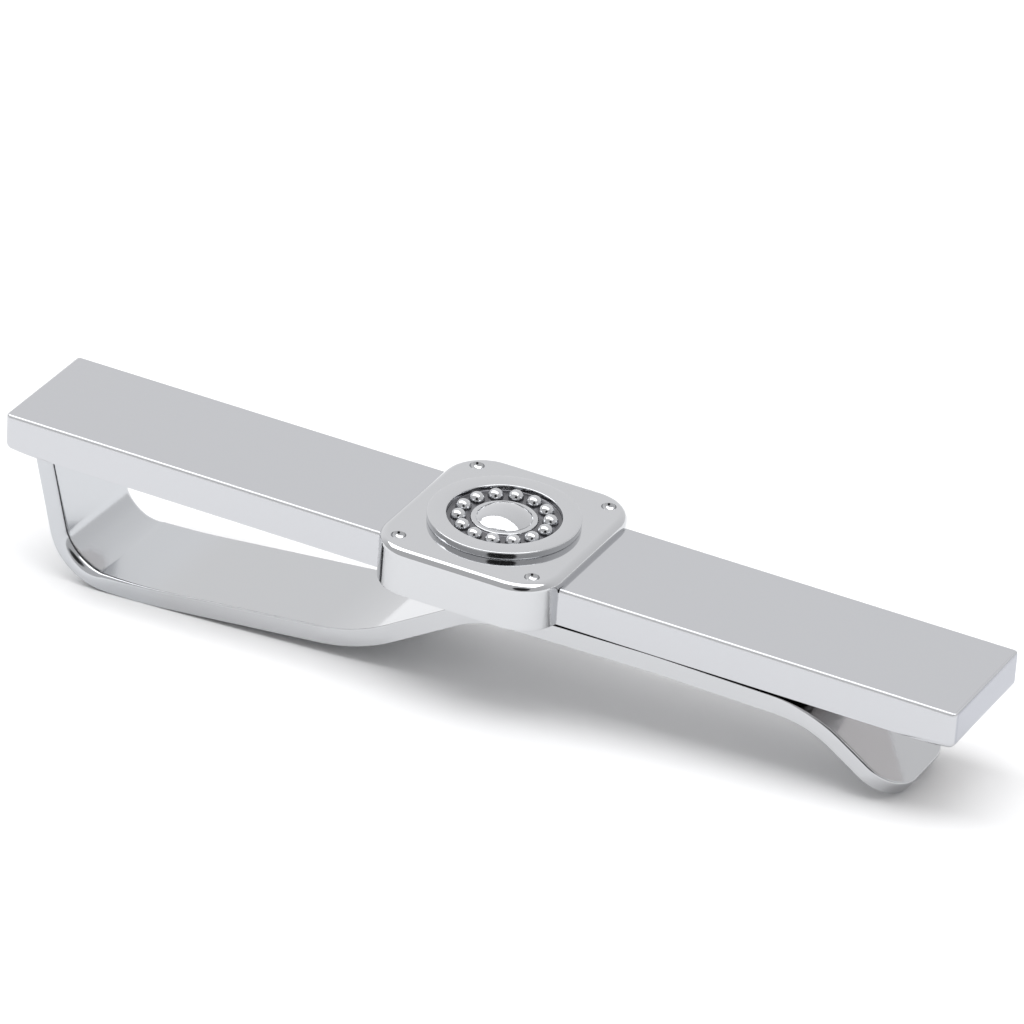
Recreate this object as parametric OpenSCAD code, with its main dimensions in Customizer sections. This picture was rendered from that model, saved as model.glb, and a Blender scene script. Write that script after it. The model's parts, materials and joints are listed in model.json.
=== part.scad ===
// Slide-on tie clip: a flat front bar with a centre ornament, and a bent spring strip behind it.
// Each piece is drawn with the bar level: origin at the middle of the bar's top face, +X along the
// bar towards the open end, +Z out of its face. lay() then sets the clip down on its strip.

/* [Bar] */
// Length of the front bar
bar_length = 55; // [52:0.5:60]
// Width of the front bar
bar_width = 7.6; // [7.4:0.1:8]
// Thickness of the front bar
bar_thickness = 2.1; // [2:0.05:2.4]
// Bevel round the edges of the bar's face
bar_bevel = 0.2; // [0.1:0.05:0.3]
// Radius of the bar's upright corners
bar_corner = 0.35; // [0.3:0.05:0.5]
// Radius under each end of the bar
bar_end_round = 0.45; // [0.35:0.05:0.7]

/* [Spring strip] */
// Width of the strip
strip_width = 6.8; // [6:0.1:7]
// Thickness of the strip
strip_thickness = 1; // [0.85:0.05:1.1]
// Distance from the middle of the bar to the leg, where it leaves the underside
leg_reach = 25.4; // [25.1:0.1:25.7]
// Lean of the leg towards the open end
leg_lean = 14; // [12:0.5:15.5]
// Height of the space for the cloth, under the bar beside the leg
cloth_gap = 5.9; // [5.8:0.1:6.1]
// Radius of the bend under the leg, on the strip's centre line
bow_radius = 2.9; // [2.6:0.1:3]
// Distance from the middle of the bar to where the strip starts to climb
bow_reach = 19.4; // [19:0.1:19.6]
// Radius of the easy bend there
sweep_radius = 34; // [30:1:36]
// Climb of the long lower run
run_climb = 6; // [5.5:0.5:6.5]
// Distance from the middle of the bar to the foot of the steep rise
rise_reach = 6.4; // [6:0.1:6.8]
// Climb of the steep rise
rise_climb = 31; // [29:0.5:33]
// Radius at the foot of the rise
rise_radius = 10; // [9:0.5:11]
// Radius at the head of the rise
settle_radius = 6; // [5:0.5:6]
// Distance from the middle of the bar to the crest that grips the cloth
crest_reach = 10.4; // [9.5:0.1:11]
// Fall of the strip either side of the crest
crest_fall = 1; // [0.6:0.1:1.4]
// Radius of the crest
crest_radius = 60; // [50:5:60]
// Gap between the crest and the bar when the clip is empty
rest_gap = 0.25; // [0.2:0.01:0.3]
// Distance from the middle of the bar to the bend where the tongue turns away from it
tongue_reach = 19.25; // [19:0.05:19.5]
// Slope of the tongue
tongue_slope = 33.5; // [32:0.5:35]
// Radius of the bend at the top of the tongue
tongue_radius = 7; // [6:0.5:8]
// Distance from the middle of the bar to the tongue's end
tip_reach = 24.4; // [24.2:0.1:24.8]
// Corner radius of the tongue's end
tip_corner = 2.2; // [1.6:0.1:2.6]
// Depth of the shallow slot that the leg's foot sits in
foot_depth = 0.5; // [0.4:0.05:0.6]
// Size of the solder fillets at the foot
fillet_size = 0.35; // [0.25:0.05:0.45]

/* [Ornament] */
// Length of the ornament's base plate along the bar
plate_length = 10.4; // [10:0.1:11]
// Width of the base plate, which stands out past both sides of the bar
plate_width = 11.3; // [11:0.1:11.8]
// Height of the base plate's top above the bar's face
plate_rise = 0.55; // [0.5:0.05:0.7]
// Corner radius of the base plate
plate_corner = 2.4; // [2:0.1:2.8]
// Radius of the base plate's upper edge
plate_edge = 0.45; // [0.35:0.05:0.5]
// Depth of the cross-wise seat for the plate in the bar's face
seat_depth = 0.2; // [0.15:0.05:0.25]
// Radius of the round upper tier
disc_radius = 4; // [3.8:0.1:4.2]
// Height of the upper tier above the base plate
disc_rise = 0.4; // [0.35:0.05:0.5]
// Inner radius of the beaded channel in the upper tier
channel_inner = 1.75; // [1.7:0.05:1.8]
// Outer radius of the beaded channel
channel_outer = 3; // [2.9:0.05:3.1]
// Number of beads in the channel
bead_count = 14; // [10:1:16]
// Radius of a bead
bead_radius = 0.42; // [0.36:0.02:0.44]
// Radius of the domed head of the centre stud
stud_head = 1.5; // [1.4:0.05:1.6]
// Height of the dome above the upper tier
dome_rise = 0.4; // [0.3:0.05:0.5]
// Radius of the stud's shank
shank_radius = 0.7; // [0.6:0.05:0.8]
// Radius of the small dimples at the corners of the base plate
dimple_radius = 0.4; // [0.35:0.05:0.45]

/* [Hidden] */

bar_shade = "#c8c8ca";
strip_shade = "#c4c6ca";
ornament_shade = "#cbcbcc";
solder_shade = "#b9babd";
round_fn = 64;
hull_fn = 32;
arc_step = 3;
reach = 40;
underside_bevel = 0.1;

// The seat between the strip's two ends, where it flexes
seat_clearance = 0.04;
nose_radius = 0.65;

// Headings of the strip's straights, from the foot to the tip, in degrees from +X
headings = [leg_lean - 90, 0, run_climb, rise_climb, crest_fall, -crest_fall, -tongue_slope];
radii = [0, bow_radius, sweep_radius, rise_radius, settle_radius, crest_radius, tongue_radius];
half_strip = strip_thickness / 2;
bow_level = -bar_thickness - cloth_gap - half_strip;
crest = [crest_reach, -bar_thickness - rest_gap - half_strip];

// Corners where the straights of the strip's centre line meet
foot = [-leg_reach, -bar_thickness] - foot_depth / cos(leg_lean) * heading(headings[0]);
bow_corner = meet(foot, headings[0], [0, bow_level], 0);
sweep_corner = [-bow_reach, bow_level];
rise_corner = along(sweep_corner, headings[2], -rise_reach);
settle_corner = meet(rise_corner, headings[3], crest, headings[4]);
tongue_corner = along(crest, headings[5], tongue_reach);
tip = along(tongue_corner, headings[6], tip_reach);
corners = [foot, bow_corner, sweep_corner, rise_corner, settle_corner, crest, tongue_corner, tip];

// The strip flexes mostly just past the bend under the leg
hinge = [bend_end(1)[0] + nose_radius + seat_clearance, bow_level];

// The clip lies on the outside of the sweep bend and on the tongue's lower end edge
sweep_centre = bend_centre(2);
sweep_outside = sweep_radius + half_strip;
tip_low = tip - half_strip * heading(headings[6] + 90);
between = tip_low - sweep_centre;
tilt = atan2(between[1], between[0]) + asin(sweep_outside / norm(between));
lift = sweep_outside - (cos(tilt) * sweep_centre[1] - sin(tilt) * sweep_centre[0]);
upright_end = bar_thickness - bar_end_round;
mid_shift = ((upright_end + bar_bevel) * sin(tilt) + bar_end_round * (1 - cos(tilt))) / 2;

ring_edge = 0.18;
channel_floor = 0.1;
dimple_inset = 1.35;
dimple_depth = 0.28;
tail_flare = 0.45;
fillet_inset = 0.2;
ring_top = disc_rise - ring_edge;

function heading(a) = [cos(a), sin(a)];

// Point where the line through p at angle a crosses the line through q at angle b
function meet(p, a, q, b) =
    p + ((q[0] - p[0]) * sin(b) - (q[1] - p[1]) * cos(b)) / sin(b - a) * heading(a);

// Point with the given x on the line through p at angle a
function along(p, a, x) = [x, p[1] + (x - p[0]) * tan(a)];

function bend_turn(i) = headings[i] - headings[i - 1];
function bend_side(i) = sign(bend_turn(i));
function bend_tangent(i) = radii[i] * tan(abs(bend_turn(i)) / 2);
function bend_start(i) = corners[i] - bend_tangent(i) * heading(headings[i - 1]);
function bend_end(i) = corners[i] + bend_tangent(i) * heading(headings[i]);
function bend_centre(i) = bend_start(i) + bend_side(i) * radii[i] * heading(headings[i - 1] + 90);

// Points round one bend on the strip's upper face (side 1) or lower face (side -1)
function bend_points(i, side) =
    let (steps = max(2, ceil(abs(bend_turn(i)) / arc_step)))
    [for (k = [0:steps])
        let (h = headings[i - 1] + bend_turn(i) * k / steps)
        bend_centre(i) + (side * half_strip - bend_side(i) * radii[i]) * heading(h + 90)];

// One face of the strip from a start, round bends first to last, to an end
function strip_face(from, first, last, to, side) = [
    from + side * half_strip * heading(headings[first - 1] + 90),
    for (i = [first:last]) each bend_points(i, side),
    to + side * half_strip * heading(headings[last] + 90)];

function reversed(list) = [for (i = [len(list) - 1:-1:0]) list[i]];

function arc_points(centre, r, from, to) =
    [for (a = [from:(to - from) / 8:to]) centre + r * heading(a)];

module lay() {
    translate([mid_shift, 0, lift])
        rotate([0, tilt, 0])
            children();
}

// Takes an outline in X and Z and gives it the given width, centred on the bar
module across(width) {
    translate([0, width / 2, 0])
        rotate([90, 0, 0])
            linear_extrude(width)
                children();
}

module strip_outline(from, first, last, to) {
    polygon(concat(
        strip_face(from, first, last, to, 1),
        reversed(strip_face(from, first, last, to, -1))));
}

module rounded_plan(length, width, r) {
    square([length - 2 * r, width], center = true);
    square([length, width - 2 * r], center = true);
    for (x = [-1, 1], y = [-1, 1])
        translate([x * (length / 2 - r), y * (width / 2 - r)])
            circle(r, $fn = round_fn);
}

module bar_side_outline() {
    half = bar_length / 2;
    low = -bar_thickness + bar_end_round;
    polygon(concat(
        [[-half + bar_bevel, 0], [-half, -bar_bevel]],
        arc_points([-half + bar_end_round, low], bar_end_round, 180, 270),
        arc_points([half - bar_end_round, low], bar_end_round, 270, 360),
        [[half, -bar_bevel], [half - bar_bevel, 0]]));
}

module bar_end_outline() {
    half = bar_width / 2;
    polygon([
        [-half + bar_bevel, 0], [-half, -bar_bevel],
        [-half, -bar_thickness + underside_bevel], [-half + underside_bevel, -bar_thickness],
        [half - underside_bevel, -bar_thickness], [half, -bar_thickness + underside_bevel],
        [half, -bar_bevel], [half - bar_bevel, 0]]);
}

module stud_bore() {
    translate([0, 0, -bar_thickness - 1])
        cylinder(bar_thickness + 3, r = shank_radius, $fn = round_fn);
}

// Front bar: bevelled all round, with a seat for the ornament and a slot for the strip's foot
module front_bar() {
    color(bar_shade) lay() difference() {
        intersection() {
            across(bar_width) bar_side_outline();
            rotate([90, 0, 90])
                linear_extrude(bar_length + 2, center = true) bar_end_outline();
            translate([0, 0, -bar_thickness])
                linear_extrude(bar_thickness) rounded_plan(bar_length, bar_width, bar_corner);
        }
        translate([-plate_length / 2, -bar_width, -seat_depth])
            cube([plate_length, 2 * bar_width, 1]);
        stud_bore();
        stud_tail();
        across(strip_width) foot_outline();
    }
}

// The part of the leg that lies inside the bar
module foot_outline() {
    intersection() {
        strip_outline(foot, 1, 1, hinge);
        translate([-reach, -bar_thickness])
            square([reach, bar_thickness]);
    }
}

// Base plate: a saddle whose cheeks reach down both sides of the bar
module emblem_plate() {
    color(ornament_shade) lay() difference() {
        hull() {
            translate([0, 0, -bar_thickness])
                linear_extrude(bar_thickness + plate_rise - plate_edge)
                    rounded_plan(plate_length, plate_width, plate_corner, $fn = hull_fn);
            for (x = [-1, 1], y = [-1, 1])
                translate([x * (plate_length / 2 - plate_corner), y * (plate_width / 2 - plate_corner),
                        plate_rise - plate_edge])
                    rotate_extrude($fn = hull_fn)
                        translate([plate_corner - plate_edge, 0])
                            intersection() {
                                circle(plate_edge, $fn = hull_fn);
                                square(plate_edge);
                            }
        }
        translate([-plate_length, -bar_width / 2, -bar_thickness - 1])
            cube([2 * plate_length, bar_width, bar_thickness + 1 - seat_depth]);
        stud_bore();
        for (x = [-1, 1], y = [-1, 1])
            translate([x * (plate_length / 2 - dimple_inset), y * (plate_width / 2 - dimple_inset),
                    plate_rise - dimple_depth])
                cylinder(1, r1 = dimple_radius - dimple_depth, r2 = dimple_radius - dimple_depth + 1,
                    $fn = round_fn);
    }
}

// Upper tier: a turned ring with a beaded channel
module emblem_disc() {
    color(ornament_shade) lay() translate([0, 0, plate_rise]) {
        rotate_extrude($fn = round_fn)
            polygon([
                [shank_radius, 0], [disc_radius, 0],
                [disc_radius, ring_top], [disc_radius - ring_edge, disc_rise],
                [channel_outer + ring_edge, disc_rise], [channel_outer, ring_top],
                [channel_outer, channel_floor], [channel_inner, channel_floor],
                [channel_inner, ring_top], [shank_radius, ring_top]]);
        for (k = [0:bead_count - 1])
            rotate([0, 0, 360 * k / bead_count])
                translate([(channel_inner + channel_outer) / 2, 0, channel_floor])
                    bead();
    }
}

// A bead, sunk a little into the channel's floor
module bead() {
    intersection() {
        sphere(bead_radius, $fn = hull_fn);
        translate([-bead_radius, -bead_radius, -channel_floor / 2])
            cube([2 * bead_radius, 2 * bead_radius, 2 * bead_radius]);
    }
}

// The stud's shank is flared into a countersink under the bar
module stud_tail() {
    translate([0, 0, -bar_thickness])
        cylinder(tail_flare, r1 = shank_radius + tail_flare, r2 = shank_radius, $fn = round_fn);
}

// Centre stud: a domed head, and a shank that holds the ornament to the bar
module centre_stud() {
    head_z = plate_rise + ring_top;
    head_height = dome_rise + ring_edge;
    dome_radius = (stud_head * stud_head + head_height * head_height) / (2 * head_height);
    color(ornament_shade) lay() union() {
        stud_tail();
        translate([0, 0, -bar_thickness])
            cylinder(bar_thickness + head_z, r = shank_radius, $fn = round_fn);
        translate([0, 0, head_z])
            intersection() {
                cylinder(head_height + 1, r = stud_head, $fn = round_fn);
                translate([0, 0, head_height - dome_radius])
                    sphere(dome_radius, $fn = round_fn);
            }
    }
}

// Fixed end of the strip: foot, leg and the bend under it, up to the flexing line
module clip_leg() {
    color(strip_shade) lay() across(strip_width)
        difference() {
            strip_outline(foot, 1, 1, hinge);
            translate(hinge) circle(nose_radius + seat_clearance, $fn = round_fn);
        }
}

// Free end of the strip: lower run, rise, gripping crest and tongue
module clip_leaf() {
    color(strip_shade) lay() intersection() {
        across(strip_width)
            intersection() {
                strip_outline(hinge - [nose_radius, 0], 2, 6, tip);
                union() {
                    translate(hinge) circle(nose_radius, $fn = round_fn);
                    translate([hinge[0], -reach]) square([2 * reach, reach]);
                }
            }
        translate([tip[0], 0, tip[1]])
            rotate([0, tongue_slope, 0])
                linear_extrude(2 * reach, center = true)
                    tongue_plan();
    }
}

// The strip with its round-cornered end, seen square to the tongue
module tongue_plan() {
    translate([-2 * reach, -strip_width / 2])
        square([2 * reach - tip_corner, strip_width]);
    translate([-2 * tip_corner, -strip_width / 2 + tip_corner])
        square([2 * tip_corner, strip_width - 2 * tip_corner]);
    for (y = [-1, 1])
        translate([-tip_corner, y * (strip_width / 2 - tip_corner)])
            circle(tip_corner, $fn = round_fn);
}

// Solder fillets along both faces of the leg, under the bar
module solder_fillets() {
    color(solder_shade) lay() across(strip_width - 2 * fillet_inset)
        for (side = [-1, 1]) {
            root = [-leg_reach + side * half_strip / cos(leg_lean), -bar_thickness];
            polygon([root, root + [side * fillet_size, 0], root + fillet_size * heading(headings[0])]);
        }
}

front_bar();
emblem_plate();
emblem_disc();
centre_stud();
clip_leg();
clip_leaf();
solder_fillets();
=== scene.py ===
import bmesh
import bpy
import json
import math
from mathutils import Matrix, Vector
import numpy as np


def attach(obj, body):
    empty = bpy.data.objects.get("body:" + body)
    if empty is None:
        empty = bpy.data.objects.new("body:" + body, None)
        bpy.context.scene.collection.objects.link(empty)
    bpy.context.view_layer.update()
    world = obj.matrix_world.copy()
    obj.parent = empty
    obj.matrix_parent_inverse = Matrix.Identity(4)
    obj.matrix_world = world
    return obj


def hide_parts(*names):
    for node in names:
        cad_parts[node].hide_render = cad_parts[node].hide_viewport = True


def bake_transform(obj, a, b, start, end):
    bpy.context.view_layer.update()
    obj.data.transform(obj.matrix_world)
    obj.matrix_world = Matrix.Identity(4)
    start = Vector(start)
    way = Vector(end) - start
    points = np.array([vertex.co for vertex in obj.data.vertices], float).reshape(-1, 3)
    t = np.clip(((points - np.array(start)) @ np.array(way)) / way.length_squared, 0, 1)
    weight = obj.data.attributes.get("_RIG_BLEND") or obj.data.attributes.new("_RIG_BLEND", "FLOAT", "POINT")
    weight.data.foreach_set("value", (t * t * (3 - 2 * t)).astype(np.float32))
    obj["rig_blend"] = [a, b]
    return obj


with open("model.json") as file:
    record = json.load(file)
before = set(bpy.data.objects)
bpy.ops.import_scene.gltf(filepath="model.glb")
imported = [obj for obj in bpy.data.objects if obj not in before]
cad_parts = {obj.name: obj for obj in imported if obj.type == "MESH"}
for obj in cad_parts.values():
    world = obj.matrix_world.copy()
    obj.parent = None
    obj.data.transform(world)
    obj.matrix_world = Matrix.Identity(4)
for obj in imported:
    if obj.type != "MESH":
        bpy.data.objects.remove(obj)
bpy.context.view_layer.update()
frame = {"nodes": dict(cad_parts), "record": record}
print("frame loaded")

# every piece is modelled in millimetres with the bar level, then laid down the way the clip rests
mm = 0.001
mounts = {m["name"]: m for m in frame["record"]["mounts"]}
faceUp = Vector(mounts["face_open_end"]["axis"]).normalized()
openSide = Vector(mounts["face_open_end"]["pos_m"])
fixedSide = Vector(mounts["face_fixed_end"]["pos_m"])
barAlong = (openSide - fixedSide).normalized()
barLaid = Matrix((barAlong, faceUp.cross(barAlong), faceUp)).transposed().to_4x4()
barLaid.translation = (openSide + fixedSide) / 2


def selectOnly(*pieces):
    if bpy.context.mode != "OBJECT":
        bpy.ops.object.mode_set(mode="OBJECT")
    bpy.ops.object.select_all(action="DESELECT")
    for piece in pieces:
        piece.select_set(True)
    if pieces:
        bpy.context.view_layer.objects.active = pieces[0]


def addPrimitive(kind, name, scale=(1, 1, 1), **settings):
    selectOnly()
    getattr(bpy.ops.mesh, f"primitive_{kind}_add")(**settings)
    piece = bpy.context.object
    piece.name = name
    piece.data.name = name
    piece.scale = scale
    bpy.ops.object.transform_apply(location=True, rotation=True, scale=True)
    return piece


def pick(piece, kind, wanted):
    # enters edit mode with only the wanted vertices, edges or faces selected
    selectOnly(piece)
    bpy.ops.object.mode_set(mode="EDIT")
    bpy.ops.mesh.select_mode(type=kind)
    bpy.ops.mesh.select_all(action="DESELECT")
    mesh = bmesh.from_edit_mesh(piece.data)
    for part in {"VERT": mesh.verts, "EDGE": mesh.edges, "FACE": mesh.faces}[kind]:
        if wanted(part):
            part.select_set(True)
    mesh.select_flush_mode()
    bmesh.update_edit_mesh(piece.data)


def allAt(axis, value, slack=0.001):
    return lambda part: all(abs(getattr(v.co, axis) - value) < slack for v in part.verts)


def finishWith(piece, kind, **settings):
    # adds a modifier with its settings and applies it
    selectOnly(piece)
    modifier = piece.modifiers.new(kind.title(), kind)
    for name, value in settings.items():
        setattr(modifier, name, value)
    bpy.ops.object.modifier_apply(modifier=modifier.name)


def cutAway(piece, cutter):
    finishWith(piece, "BOOLEAN", operation="DIFFERENCE", object=cutter, solver="EXACT")
    bpy.data.objects.remove(cutter)


def joined(*pieces):
    selectOnly(*pieces)
    bpy.ops.object.join()
    return bpy.context.object


def layDown(piece, material, smoothAngle=40, normalWeight=80):
    selectOnly(piece)
    piece.matrix_world = barLaid @ Matrix.Scale(mm, 4)
    bpy.ops.object.transform_apply(location=True, rotation=True, scale=True)
    bpy.ops.object.mode_set(mode="EDIT")
    bpy.ops.mesh.select_all(action="SELECT")
    bpy.ops.mesh.normals_make_consistent(inside=False)
    bpy.ops.object.mode_set(mode="OBJECT")
    bpy.ops.object.shade_smooth_by_angle(angle=math.radians(smoothAngle))
    finishWith(piece, "WEIGHTED_NORMAL", keep_sharp=True, weight=normalWeight)
    piece.data.materials.clear()
    piece.data.materials.append(material)
    return piece


def linear(hexColour):
    channels = [int(hexColour[i:i + 2], 16) / 255 for i in (1, 3, 5)]
    return [c / 12.92 if c <= 0.04045 else ((c + 0.055) / 1.055) ** 2.4 for c in channels] + [1]


def addNode(tree, kind, settings=None, sockets=None):
    node = tree.nodes.new(kind)
    for name, value in (settings or {}).items():
        setattr(node, name, value)
    for name, value in (sockets or {}).items():
        if isinstance(value, bpy.types.NodeSocket):
            tree.links.new(value, node.inputs[name])
        else:
            node.inputs[name].default_value = value
    return node


def shareOfZone(tree, place, edges):
    # each edge of a zone rises from nothing at its first value to full at its second, in mm along
    # the bar, in height over its face, or in reach from the upright through the ornament's middle
    at = addNode(tree, "ShaderNodeSeparateXYZ", None, {"Vector": place}).outputs
    share = 1.0
    for measure, nothing, full in edges:
        if measure == "reach":
            level = addNode(tree, "ShaderNodeCombineXYZ", None, {"X": at["X"], "Y": at["Y"]})
            value = addNode(tree, "ShaderNodeVectorMath", {"operation": "LENGTH"}, {
                0: level.outputs["Vector"]}).outputs["Value"]
        else:
            value = at[{"along": "X", "height": "Z"}[measure]]
        rise = addNode(tree, "ShaderNodeMapRange", {"interpolation_type": "SMOOTHSTEP"}, {
            "Value": value, "From Min": nothing, "From Max": full})
        share = addNode(tree, "ShaderNodeMath", {"operation": "MULTIPLY"}, {
            0: share, 1: rise.outputs["Result"]}).outputs[0]
    return share


# sizes in mm; real buffing lines are finer still, and these are as coarse as they need to show
buffing = {"lineLength": 25, "lineSpacing": 0.125, "lineDepth": 0.0004, "lineStrength": 0.05,
           "lineDetail": 3, "lineBreakUp": 0.6,
           "hazePatchesPerMm": 0.22, "hazeDetail": 4, "hazeBreakUp": 0.55,
           "hazeFrom": 0.3, "hazeTo": 0.7}


def platedBrass(name, colour, smooth=0.05, rough=0.1, dullAndPaintedLightZones=()):
    # rhodium over buffed brass: a hard white mirror with very fine lines left by the buffing wheel
    s = buffing
    material = bpy.data.materials.new(name)
    material.use_nodes = True
    tree = material.node_tree
    tree.nodes.clear()
    toBar = barLaid.inverted()
    place = addNode(tree, "ShaderNodeMapping", None, {
        "Vector": addNode(tree, "ShaderNodeTexCoord").outputs["Object"],
        "Scale": (1 / mm, 1 / mm, 1 / mm), "Rotation": toBar.to_euler(),
        "Location": toBar.translation / mm}).outputs["Vector"]
    lines = addNode(tree, "ShaderNodeMapping", None, {
        "Vector": place,
        "Scale": (1 / s["lineLength"], 1 / s["lineSpacing"], 1 / s["lineSpacing"])})
    buffed = addNode(tree, "ShaderNodeTexNoise", None, {
        "Vector": lines.outputs["Vector"], "Scale": 1,
        "Detail": s["lineDetail"], "Roughness": s["lineBreakUp"]})
    haze = addNode(tree, "ShaderNodeTexNoise", None, {
        "Vector": place, "Scale": s["hazePatchesPerMm"],
        "Detail": s["hazeDetail"], "Roughness": s["hazeBreakUp"]})
    roughness = addNode(tree, "ShaderNodeMapRange", None, {
        "Value": haze.outputs["Fac"], "From Min": s["hazeFrom"], "From Max": s["hazeTo"],
        "To Min": smooth, "To Max": rough}).outputs["Result"]
    tint = linear(colour)
    for zone in dullAndPaintedLightZones:
        share = shareOfZone(tree, place, zone["edges"])
        # a mix has sockets of the same name for each kind of value, so they are reached by number
        roughness = addNode(tree, "ShaderNodeMix", {"data_type": "FLOAT"}, {
            0: share, 2: roughness, 3: zone["roughness"]}).outputs[0]
        # a zone's colour paints light or shade on the metal: the darker bar ends, the dark bead channel, the
        # lighter bend and the greyer leg
        tint = addNode(tree, "ShaderNodeMix", {"data_type": "RGBA"}, {
            0: share, 6: tint, 7: linear(zone["colour"])}).outputs[2]
    bump = addNode(tree, "ShaderNodeBump", None, {
        "Height": buffed.outputs["Fac"], "Strength": s["lineStrength"],
        "Distance": s["lineDepth"] * mm})
    metal = addNode(tree, "ShaderNodeBsdfPrincipled", None, {
        "Base Color": tint, "Metallic": 1.0, "Roughness": roughness,
        "Normal": bump.outputs["Normal"]})
    addNode(tree, "ShaderNodeOutputMaterial", None, {"Surface": metal.outputs["BSDF"]})
    return material


# the bar's bevel, both its ends and its underside are tumbled, not buffed, so they mirror softly; both ends
# are also painted darker and bluer, a painted shade for the dimmer floor they mirror
barMetal = platedBrass("rhodiumPlatedBar", "#c4c5c8", dullAndPaintedLightZones=(
    {"edges": (("height", -0.19, -0.17), ("height", 0, -0.02)),
     "roughness": 0.42, "colour": "#c7c8ca"},
    {"edges": (("along", 27.42, 27.49),), "roughness": 0.24, "colour": "#acaeb5"},
    {"edges": (("along", -27.42, -27.49),), "roughness": 0.24, "colour": "#acaeb5"},
    {"edges": (("height", -2.08, -2.095),), "roughness": 0.12, "colour": "#c8c5c4"}))
# the wheel can't reach the floor of the bead channel, which stays dull; it is also painted dark, a painted
# shade in the recess between the beads
ornamentMetal = platedBrass("rhodiumPlatedOrnament", "#c9cacc", dullAndPaintedLightZones=(
    {"edges": (("height", 0.74, 0.68), ("reach", 1.65, 1.75), ("reach", 3.1, 3)),
     "roughness": 0.3, "colour": "#6f6f72"},))
# the strip is a little duller from the bend along the leg; it is painted a little lighter from the bend and
# greyer again along the leg, a painted highlight and a painted shade for how those parts mirror the room
stripMetal = platedBrass("rhodiumPlatedSpringStrip", "#c3c4c6", smooth=0.07, rough=0.12, dullAndPaintedLightZones=(
    {"edges": (("along", -17, -19.5),), "roughness": 0.16, "colour": "#c6c8cb"},
    {"edges": (("along", -22.9, -23.7),), "roughness": 0.16, "colour": "#c0c2c5"}))
# the solder has only the plating's own shine, over a surface left by the flame
solderMetal = platedBrass("platedSilverSolder", "#bdbdbe", smooth=0.18, rough=0.3)
print("materials made")


# degrees, mm from the middle of the bar's face, and the lens in mm
camera = {"azimuth": 25.67, "elevation": 29.77, "roll": 4.0, "distance": 419.27,
          "aimRight": 0.37, "aimUp": 0.95, "lens": 287.0, "sensorWidth": 36,
          "nearestSeen": 10, "farthestSeen": 20000}


def addCamera(s):
    azimuth, elevation, roll = (math.radians(s[k]) for k in ("azimuth", "elevation", "roll"))
    back = Vector((math.sin(azimuth) * math.cos(elevation),
                   -math.cos(azimuth) * math.cos(elevation), math.sin(elevation)))
    right = Vector((math.cos(azimuth), math.sin(azimuth), 0))
    up = back.cross(right)
    rolledRight = right * math.cos(roll) + up * math.sin(roll)
    rolledUp = up * math.cos(roll) - right * math.sin(roll)
    seen = Matrix((rolledRight, rolledUp, back)).transposed().to_4x4()
    seen.translation = (right * s["aimRight"] + up * s["aimUp"] + back * s["distance"]) * mm
    bpy.ops.object.camera_add()
    eye = bpy.context.object
    eye.matrix_world = barLaid @ seen
    eye.data.lens = s["lens"]
    eye.data.sensor_width = s["sensorWidth"]
    eye.data.clip_start = s["nearestSeen"] * mm
    eye.data.clip_end = s["farthestSeen"] * mm
    bpy.context.scene.camera = eye


selectOnly()
addCamera(camera)
print("camera set")


bar = {"length": 55, "width": 7.6, "thickness": 2.1,
       "faceEdge": 0.18, "cornerEdge": 0.35, "underEdge": 0.05, "endRound": 0.45,
       "seatLength": 10.4, "seatDepth": 0.2, "sinkRadius": 1.17, "sinkDepth": 0.47,
       "edgeSegments": 8, "sinkSides": 48,
       "cornerPick": 2,  # an edge shorter than this is one of a corner's
       "cutterSpare": 1}  # how far a cutter stands out of the metal


def buildBar(s):
    half, under, spare = s["length"] / 2, -s["thickness"], s["cutterSpare"]

    def onSide(edge):
        return any(allAt("y", side)(edge) for side in (s["width"] / 2, -s["width"] / 2))

    def onEnd(edge):
        return any(allAt("x", end)(edge) for end in (half, -half))

    def atCorner(edge):
        # the sides' only short edges are the upright ones and those round the lower ends
        return onSide(edge) and (edge.verts[0].co - edge.verts[1].co).length < s["cornerPick"]

    piece = addPrimitive("cube", "frontBar", (s["length"], s["width"], s["thickness"]),
                         size=1, location=(0, 0, under / 2))
    pick(piece, "EDGE", lambda edge: allAt("z", under)(edge) and onEnd(edge))
    bpy.ops.mesh.bevel(offset=s["endRound"], segments=s["edgeSegments"], affect="EDGES")
    pick(piece, "EDGE", atCorner)
    bpy.ops.transform.edge_bevelweight(value=1)
    pick(piece, "EDGE", allAt("z", 0))
    bpy.ops.transform.edge_bevelweight(value=s["faceEdge"] / s["cornerEdge"])
    pick(piece, "EDGE", lambda edge: allAt("z", under)(edge) and onSide(edge))
    bpy.ops.transform.edge_bevelweight(value=s["underEdge"] / s["cornerEdge"])
    finishWith(piece, "BEVEL", width=s["cornerEdge"], segments=s["edgeSegments"],
               limit_method="WEIGHT")
    seat = addPrimitive("cube", "seatCutter",
                        (s["seatLength"], s["width"] + 2 * spare, 2 * spare),
                        size=1, location=(0, 0, spare - s["seatDepth"]))
    cutAway(piece, seat)
    sink = addPrimitive("cone", "sinkCutter", vertices=s["sinkSides"],
                        radius1=s["sinkRadius"] + spare, radius2=s["sinkRadius"] - s["sinkDepth"],
                        depth=s["sinkDepth"] + spare,
                        location=(0, 0, under + (s["sinkDepth"] - spare) / 2))
    cutAway(piece, sink)
    return piece


frontBar = layDown(buildBar(bar), barMetal)
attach(frontBar, "bar_body")
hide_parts("front_bar")
print("front bar made")


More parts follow.
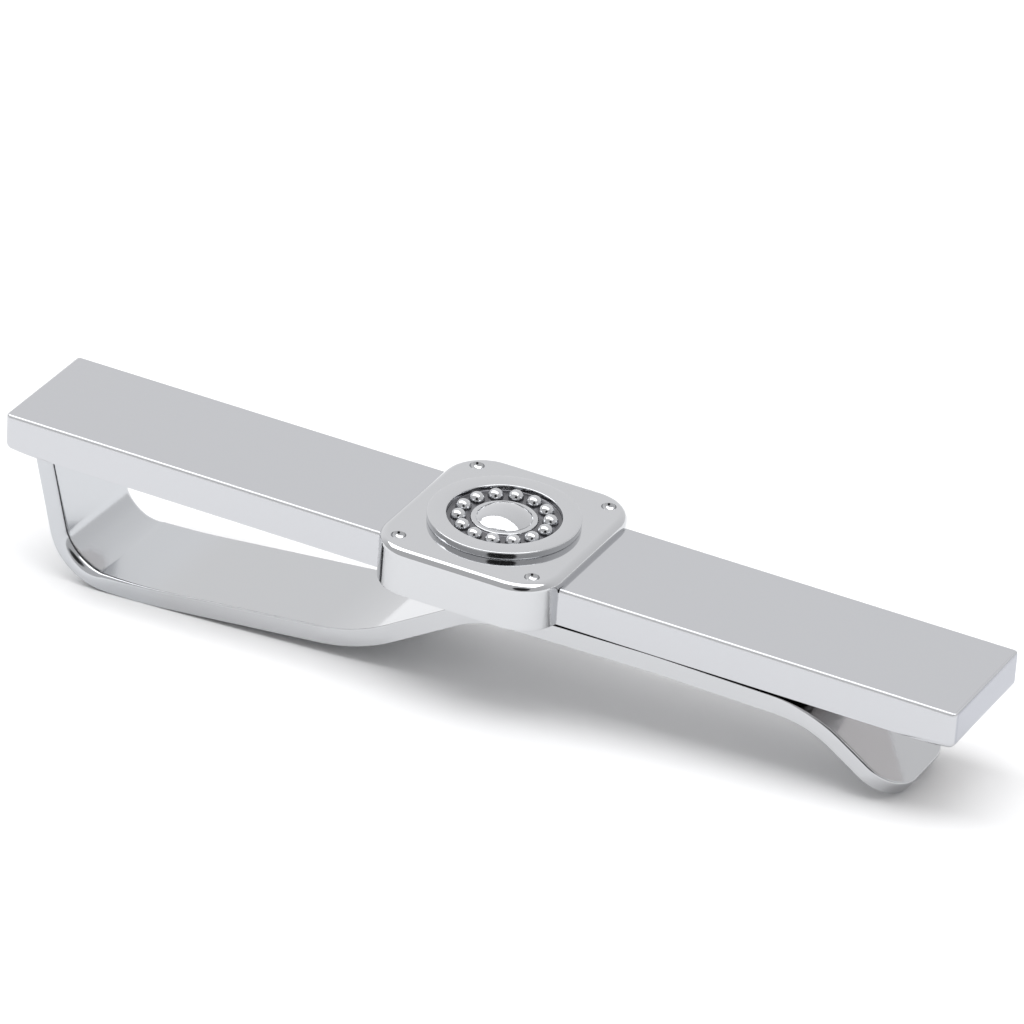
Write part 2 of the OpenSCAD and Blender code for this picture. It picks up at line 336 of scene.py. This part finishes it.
# the corners are where the straight runs along the strip's middle would meet, from the foot to the
# tongue's tip, as (along the bar, height over its face), and the radii are the bends between them
strip = {"width": 6.8, "thickness": 1,
         "corners": [(-25.5247, -1.6), (-23.8043, -8.5), (-19.4, -8.5), (-6.4, -7.1336),
                     (0.4398, -3.0239), (10.4, -2.85), (19.25, -3.0045), (24.4, -6.4132)],
         "radii": [2.9, 34, 10, 6, 60, 7], "degreesPerStep": 1.5, "fewestSteps": 3,
         "tongueCorner": 2.2, "tongueSegments": 14,
         "bendEdge": 0.56, "outerEdge": 0.26, "legEdge": 0.22, "runEdge": 0.025,
         "tongueEdge": 0.16, "tongueFrom": 18.5, "edgeSegments": 6,
         "bendMiddle": (-23.1, -7.2), "bendReach": (0.8, 3.1), "bendCentre": (-21.54, -5.6),
         "sharpAngle": 50, "footPick": 0.01, "tipPick": 0.1,
         "flatPick": 0.5,  # a face that points less than this sideways is one of the strip's flats
         "flexStart": (-23.2, -8.5), "flexEnd": (-17.6, -8.5)}


def upright(spot):
    return Vector((spot[0], 0, spot[1]))


def buildStrip(s):
    corners = [upright(spot) for spot in s["corners"]]
    runs = [(b - a).normalized() for a, b in zip(corners, corners[1:])]
    turns = [math.atan2(a.x * b.z - a.z * b.x, a.dot(b)) for a, b in zip(runs, runs[1:])]
    tangents = [0] + [r * math.tan(abs(t) / 2) for r, t in zip(s["radii"], turns)] + [0]
    footEnd = corners[1] - runs[0] * tangents[1]
    footLean = -math.atan2(runs[0].z, runs[0].x)
    piece = addPrimitive("plane", "springStrip",
                         ((footEnd - corners[0]).length, s["width"], 1), size=1,
                         location=(corners[0] + footEnd) / 2, rotation=(0, footLean, 0))
    pick(piece, "EDGE", lambda edge: all(
        (v.co - footEnd).dot(runs[0]) > -s["footPick"] for v in edge.verts))
    for i, (turn, radius) in enumerate(zip(turns, s["radii"])):
        side = 1 if turn > 0 else -1
        towards = Vector((-runs[i].z, 0, runs[i].x)) * side
        centre = corners[i + 1] - runs[i] * tangents[i + 1] + towards * radius
        steps = max(s["fewestSteps"], math.ceil(math.degrees(abs(turn)) / s["degreesPerStep"]))
        bpy.ops.mesh.spin(steps=steps, angle=abs(turn), center=centre, axis=(0, side, 0))
        straight = (corners[i + 2] - corners[i + 1]).length - tangents[i + 1] - tangents[i + 2]
        bpy.ops.mesh.extrude_region_move(TRANSFORM_OT_translate={"value": runs[i + 1] * straight})
    tip = corners[-1]
    pick(piece, "VERT", lambda v: (v.co - tip).length < s["width"] / 2 + s["tipPick"])
    bpy.ops.mesh.bevel(affect="VERTICES", offset=s["tongueCorner"], segments=s["tongueSegments"])
    bpy.ops.mesh.select_all(action="SELECT")
    bpy.ops.mesh.normals_make_consistent(inside=False)
    finishWith(piece, "SOLIDIFY", thickness=s["thickness"], offset=0, use_even_offset=True)
    weighEdges(piece, s)
    finishWith(piece, "BEVEL", width=s["bendEdge"], segments=s["edgeSegments"],
               limit_method="WEIGHT")
    return piece


def weighEdges(piece, s):
    # the edges are roundest inside the bend, sharper outside it and along the leg and the tongue,
    # and sharpest along the run
    near, far = s["bendReach"]
    middle, centre = upright(s["bendMiddle"]), upright(s["bendCentre"])
    sharpAngle = math.radians(s["sharpAngle"])
    pick(piece, "EDGE", lambda edge: edge.calc_face_angle(0) > sharpAngle)
    mesh = bmesh.from_edit_mesh(piece.data)
    layers = mesh.edges.layers.float
    weight = layers.get("bevel_weight_edge") or layers.new("bevel_weight_edge")
    for edge in (e for e in mesh.edges if e.select):
        at = (edge.verts[0].co + edge.verts[1].co) / 2
        away = ((upright((at.x, at.z)) - middle).length - near) / (far - near)
        away = min(1, max(0, away))
        ordinary = s["tongueEdge"] if at.x > s["tongueFrom"] else s["runEdge"]
        if at.z > middle.z and at.x < middle.x:
            ordinary = s["legEdge"]
        flats = [f.normal for f in edge.link_faces if abs(f.normal.y) < s["flatPick"]]
        inside = all(normal.dot(centre - at) > 0 for normal in flats)
        roundest = s["bendEdge"] if inside else s["outerEdge"]
        edge[weight] = (roundest * (1 - away) + ordinary * away) / s["bendEdge"]
    bmesh.update_edit_mesh(piece.data)


springStrip = layDown(buildStrip(strip), stripMetal)
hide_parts("clip_leg", "clip_leaf")
flexStart, flexEnd = (barLaid @ (upright(strip[k]) * mm) for k in ("flexStart", "flexEnd"))
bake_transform(springStrip, "bar_body", "leaf_body", start=flexStart, end=flexEnd)
print("spring strip made")


plate = {"length": 10.4, "width": 11.3, "rise": 0.55,
         "barWidth": 7.6, "barThickness": 2.1, "seatDepth": 0.2,
         "corner": 2.4, "cornerSegments": 14, "topEdge": 0.45, "topSegments": 7,
         "underEdge": 0.08, "underSegments": 2,
         "dimpleInset": 1.35, "dimpleRadius": 0.4, "dimpleDepth": 0.28,
         "dimpleSegments": 32, "dimpleRings": 24,
         "uprightPick": 1,  # an edge that rises by more than this is an upright one
         "cutterSpare": 1, "cutterHeight": 4}


def buildPlate(s):
    height = s["rise"] + s["barThickness"]
    piece = addPrimitive("cube", "ornamentPlate", (s["length"], s["width"], height),
                         size=1, location=(0, 0, s["rise"] - height / 2))
    pick(piece, "EDGE",
         lambda edge: abs(edge.verts[0].co.z - edge.verts[1].co.z) > s["uprightPick"])
    bpy.ops.mesh.bevel(offset=s["corner"], segments=s["cornerSegments"], affect="EDGES")
    pick(piece, "EDGE", allAt("z", s["rise"]))
    bpy.ops.mesh.bevel(offset=s["topEdge"], segments=s["topSegments"], affect="EDGES")
    pick(piece, "EDGE", allAt("z", -s["barThickness"]))
    bpy.ops.mesh.bevel(offset=s["underEdge"], segments=s["underSegments"], affect="EDGES")
    channel = addPrimitive("cube", "channelCutter",
                           (s["length"] + 2 * s["cutterSpare"], s["barWidth"], s["cutterHeight"]),
                           size=1, location=(0, 0, -s["cutterHeight"] / 2 - s["seatDepth"]))
    cutAway(piece, channel)
    ballRadius = (s["dimpleRadius"] ** 2 + s["dimpleDepth"] ** 2) / (2 * s["dimpleDepth"])
    for x in (-1, 1):
        for y in (-1, 1):
            spot = (x * (s["length"] / 2 - s["dimpleInset"]),
                    y * (s["width"] / 2 - s["dimpleInset"]),
                    s["rise"] + ballRadius - s["dimpleDepth"])
            ball = addPrimitive("uv_sphere", "dimpleCutter", radius=ballRadius, location=spot,
                                segments=s["dimpleSegments"], ring_count=s["dimpleRings"])
            cutAway(piece, ball)
    return piece


# the beads sit half sunk in the ring's channel
ring = {"radius": 4, "base": 0.55, "height": 0.4, "sides": 112,
        "channelOuter": 3, "channelInner": 1.75, "channelFloor": 0.1, "hubTop": 0.22,
        "rimRound": 0.12, "rimSegments": 4, "sharpAngle": 60,
        "beads": 14, "beadRadius": 0.42, "beadSegments": 32, "beadRings": 16}


def buildRing(s):
    def raiseBy(height):
        bpy.ops.mesh.extrude_region_move(TRANSFORM_OT_translate={"value": (0, 0, height)})

    piece = addPrimitive("cylinder", "ornamentRing", vertices=s["sides"], radius=s["radius"],
                         depth=s["height"], location=(0, 0, s["base"] + s["height"] / 2))
    pick(piece, "FACE", allAt("z", s["base"] + s["height"]))
    bpy.ops.mesh.inset(thickness=s["radius"] - s["channelOuter"])
    raiseBy(s["channelFloor"] - s["height"])
    bpy.ops.mesh.inset(thickness=s["channelOuter"] - s["channelInner"])
    raiseBy(s["hubTop"] - s["channelFloor"])
    finishWith(piece, "BEVEL", width=s["rimRound"], segments=s["rimSegments"],
               limit_method="ANGLE", angle_limit=math.radians(s["sharpAngle"]))
    return piece


def buildBeads(s):
    reach = (s["channelOuter"] + s["channelInner"]) / 2
    first = addPrimitive("uv_sphere", "bead", radius=s["beadRadius"],
                         segments=s["beadSegments"], ring_count=s["beadRings"],
                         location=(reach, 0, s["base"] + s["channelFloor"]))
    beads = [first]
    for k in range(1, s["beads"]):
        selectOnly(first)
        bpy.ops.object.duplicate()
        bead = bpy.context.object
        bead.rotation_euler.z = 2 * math.pi * k / s["beads"]
        bpy.ops.object.transform_apply(location=False, rotation=True, scale=False)
        beads.append(bead)
    row = joined(*beads)
    row.name = "beadRow"
    return row


stud = {"headRadius": 1.5, "headBase": 0.77, "headHeight": 0.58,
        "headSegments": 64, "headRings": 96, "rimRound": 0.07, "rimSegments": 3, "sharpAngle": 45,
        "shankRadius": 0.7, "shankSides": 48, "underside": -2.1, "flare": 0.45}


def buildStud(s):
    domeRadius = (s["headRadius"] ** 2 + s["headHeight"] ** 2) / (2 * s["headHeight"])
    dome = addPrimitive("uv_sphere", "centreStud", radius=domeRadius,
                        segments=s["headSegments"], ring_count=s["headRings"],
                        location=(0, 0, s["headBase"] + s["headHeight"] - domeRadius))
    selectOnly(dome)
    bpy.ops.object.mode_set(mode="EDIT")
    bpy.ops.mesh.select_all(action="SELECT")
    bpy.ops.mesh.bisect(plane_co=(0, 0, s["headBase"]), plane_no=(0, 0, 1),
                        use_fill=True, clear_inner=True)
    finishWith(dome, "BEVEL", width=s["rimRound"], segments=s["rimSegments"],
               limit_method="ANGLE", angle_limit=math.radians(s["sharpAngle"]))
    shankLength = s["headBase"] - s["underside"] - s["flare"]
    shank = addPrimitive("cylinder", "shank", vertices=s["shankSides"], radius=s["shankRadius"],
                         depth=shankLength, location=(0, 0, s["headBase"] - shankLength / 2))
    tail = addPrimitive("cone", "tail", vertices=s["shankSides"],
                        radius1=s["shankRadius"] + s["flare"], radius2=s["shankRadius"],
                        depth=s["flare"], location=(0, 0, s["underside"] + s["flare"] / 2))
    return joined(dome, shank, tail)


for build, settings, node in ((buildPlate, plate, "emblem_plate"),
                              (buildRing, ring, "emblem_disc"),
                              (buildBeads, ring, "emblem_disc"),
                              (buildStud, stud, "centre_stud")):
    ornamentPiece = layDown(build(settings), ornamentMetal)
    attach(ornamentPiece, "bar_body")
    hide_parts(node)
    print(ornamentPiece.name, "made")

solderBeads = frame["nodes"]["solder_fillets"]  # stays as the solid, with only its finish added
solderBeads.data.materials.clear()
solderBeads.data.materials.append(solderMetal)


floorPaint = {"colour": "#f8f8f8", "roughness": 0.9, "size": 6}  # in metres


def addFloor(s):
    # a board in matt white paint, which takes soft shadows and mirrors nothing
    floor = addPrimitive("plane", "floor", size=s["size"], location=(0, 0, 0))
    material = bpy.data.materials.new("mattWhitePaint")
    material.use_nodes = True
    tree = material.node_tree
    tree.nodes.clear()
    paint = addNode(tree, "ShaderNodeBsdfPrincipled", None, {
        "Base Color": linear(s["colour"]), "Roughness": s["roughness"],
        "Specular IOR Level": 0.0})
    addNode(tree, "ShaderNodeOutputMaterial", None, {"Surface": paint.outputs["BSDF"]})
    floor.data.materials.append(material)


# the walls' edges are in the sky's own -1 to 1 from front to back, the opening's in degrees
sky = {"colour": "#fefeff", "back": 0.94, "backFall": 0.13, "front": 0.64,
       "frontEdge": -0.3, "backEdge": 0.5,
       "openingEdge": 21, "openingCore": 17, "openingDark": 0.03}


def addSky(s):
    # a pale back wall, slightly dimmer to the right, a dimmer room in front, and the dark opening
    # that the lens looks through
    world = bpy.data.worlds.new("studioSky")
    bpy.context.scene.world = world
    world.use_nodes = True
    tree = world.node_tree
    direction = addNode(tree, "ShaderNodeTexCoord").outputs["Generated"]
    towards = addNode(tree, "ShaderNodeSeparateXYZ", None, {"Vector": direction}).outputs
    back = addNode(tree, "ShaderNodeMapRange", None, {
        "Value": towards["X"], "From Min": -1, "From Max": 1,
        "To Min": s["back"] + s["backFall"], "To Max": s["back"] - s["backFall"]})
    backward = addNode(tree, "ShaderNodeMapRange", {"interpolation_type": "SMOOTHSTEP"}, {
        "Value": towards["Y"], "From Min": s["frontEdge"], "From Max": s["backEdge"]})
    room = addNode(tree, "ShaderNodeMix", {"data_type": "FLOAT"}, {
        0: backward.outputs["Result"], 2: s["front"], 3: back.outputs["Result"]})
    lens = bpy.context.scene.camera.matrix_world.to_3x3() @ Vector((0, 0, 1))
    nearLens = addNode(tree, "ShaderNodeVectorMath", {"operation": "DOT_PRODUCT"}, {
        0: direction, 1: lens})
    opening = addNode(tree, "ShaderNodeMapRange", {"interpolation_type": "SMOOTHSTEP"}, {
        "Value": nearLens.outputs["Value"],
        "From Min": math.cos(math.radians(s["openingEdge"])),
        "From Max": math.cos(math.radians(s["openingCore"]))})
    strength = addNode(tree, "ShaderNodeMix", {"data_type": "FLOAT"}, {
        0: opening.outputs["Result"], 2: room.outputs[0], 3: s["openingDark"]})
    background = tree.nodes["Background"]
    tree.links.new(strength.outputs[0], background.inputs["Strength"])
    background.inputs["Color"].default_value = linear(s["colour"])


# sizes in metres
softbox = {"towards": (-0.12, -0.06, 1.0), "distance": 1.0, "length": 2.0, "width": 0.62,
           "radiance": 2.75, "tint": (0.985, 0.99, 1.0)}


def addSoftbox(s):
    # a long softbox facing the clip; its power follows from how bright its cloth is
    facing = Vector(s["towards"]).normalized()
    across = facing.cross(Vector((1, 0, 0))).normalized()
    bpy.ops.object.light_add(type="AREA")
    light = bpy.context.object
    light.name = "overheadSoftbox"
    light.data.shape = "RECTANGLE"
    light.data.size = s["length"]
    light.data.size_y = s["width"]
    light.data.energy = s["radiance"] * math.pi * s["length"] * s["width"]
    light.data.color = s["tint"]
    placed = Matrix((across.cross(facing), across, facing)).transposed().to_4x4()
    placed.translation = facing * s["distance"]
    light.matrix_world = placed


addFloor(floorPaint)
addSky(sky)
addSoftbox(softbox)
bpy.context.scene.view_settings.view_transform = "Standard"
print("floor and light set")
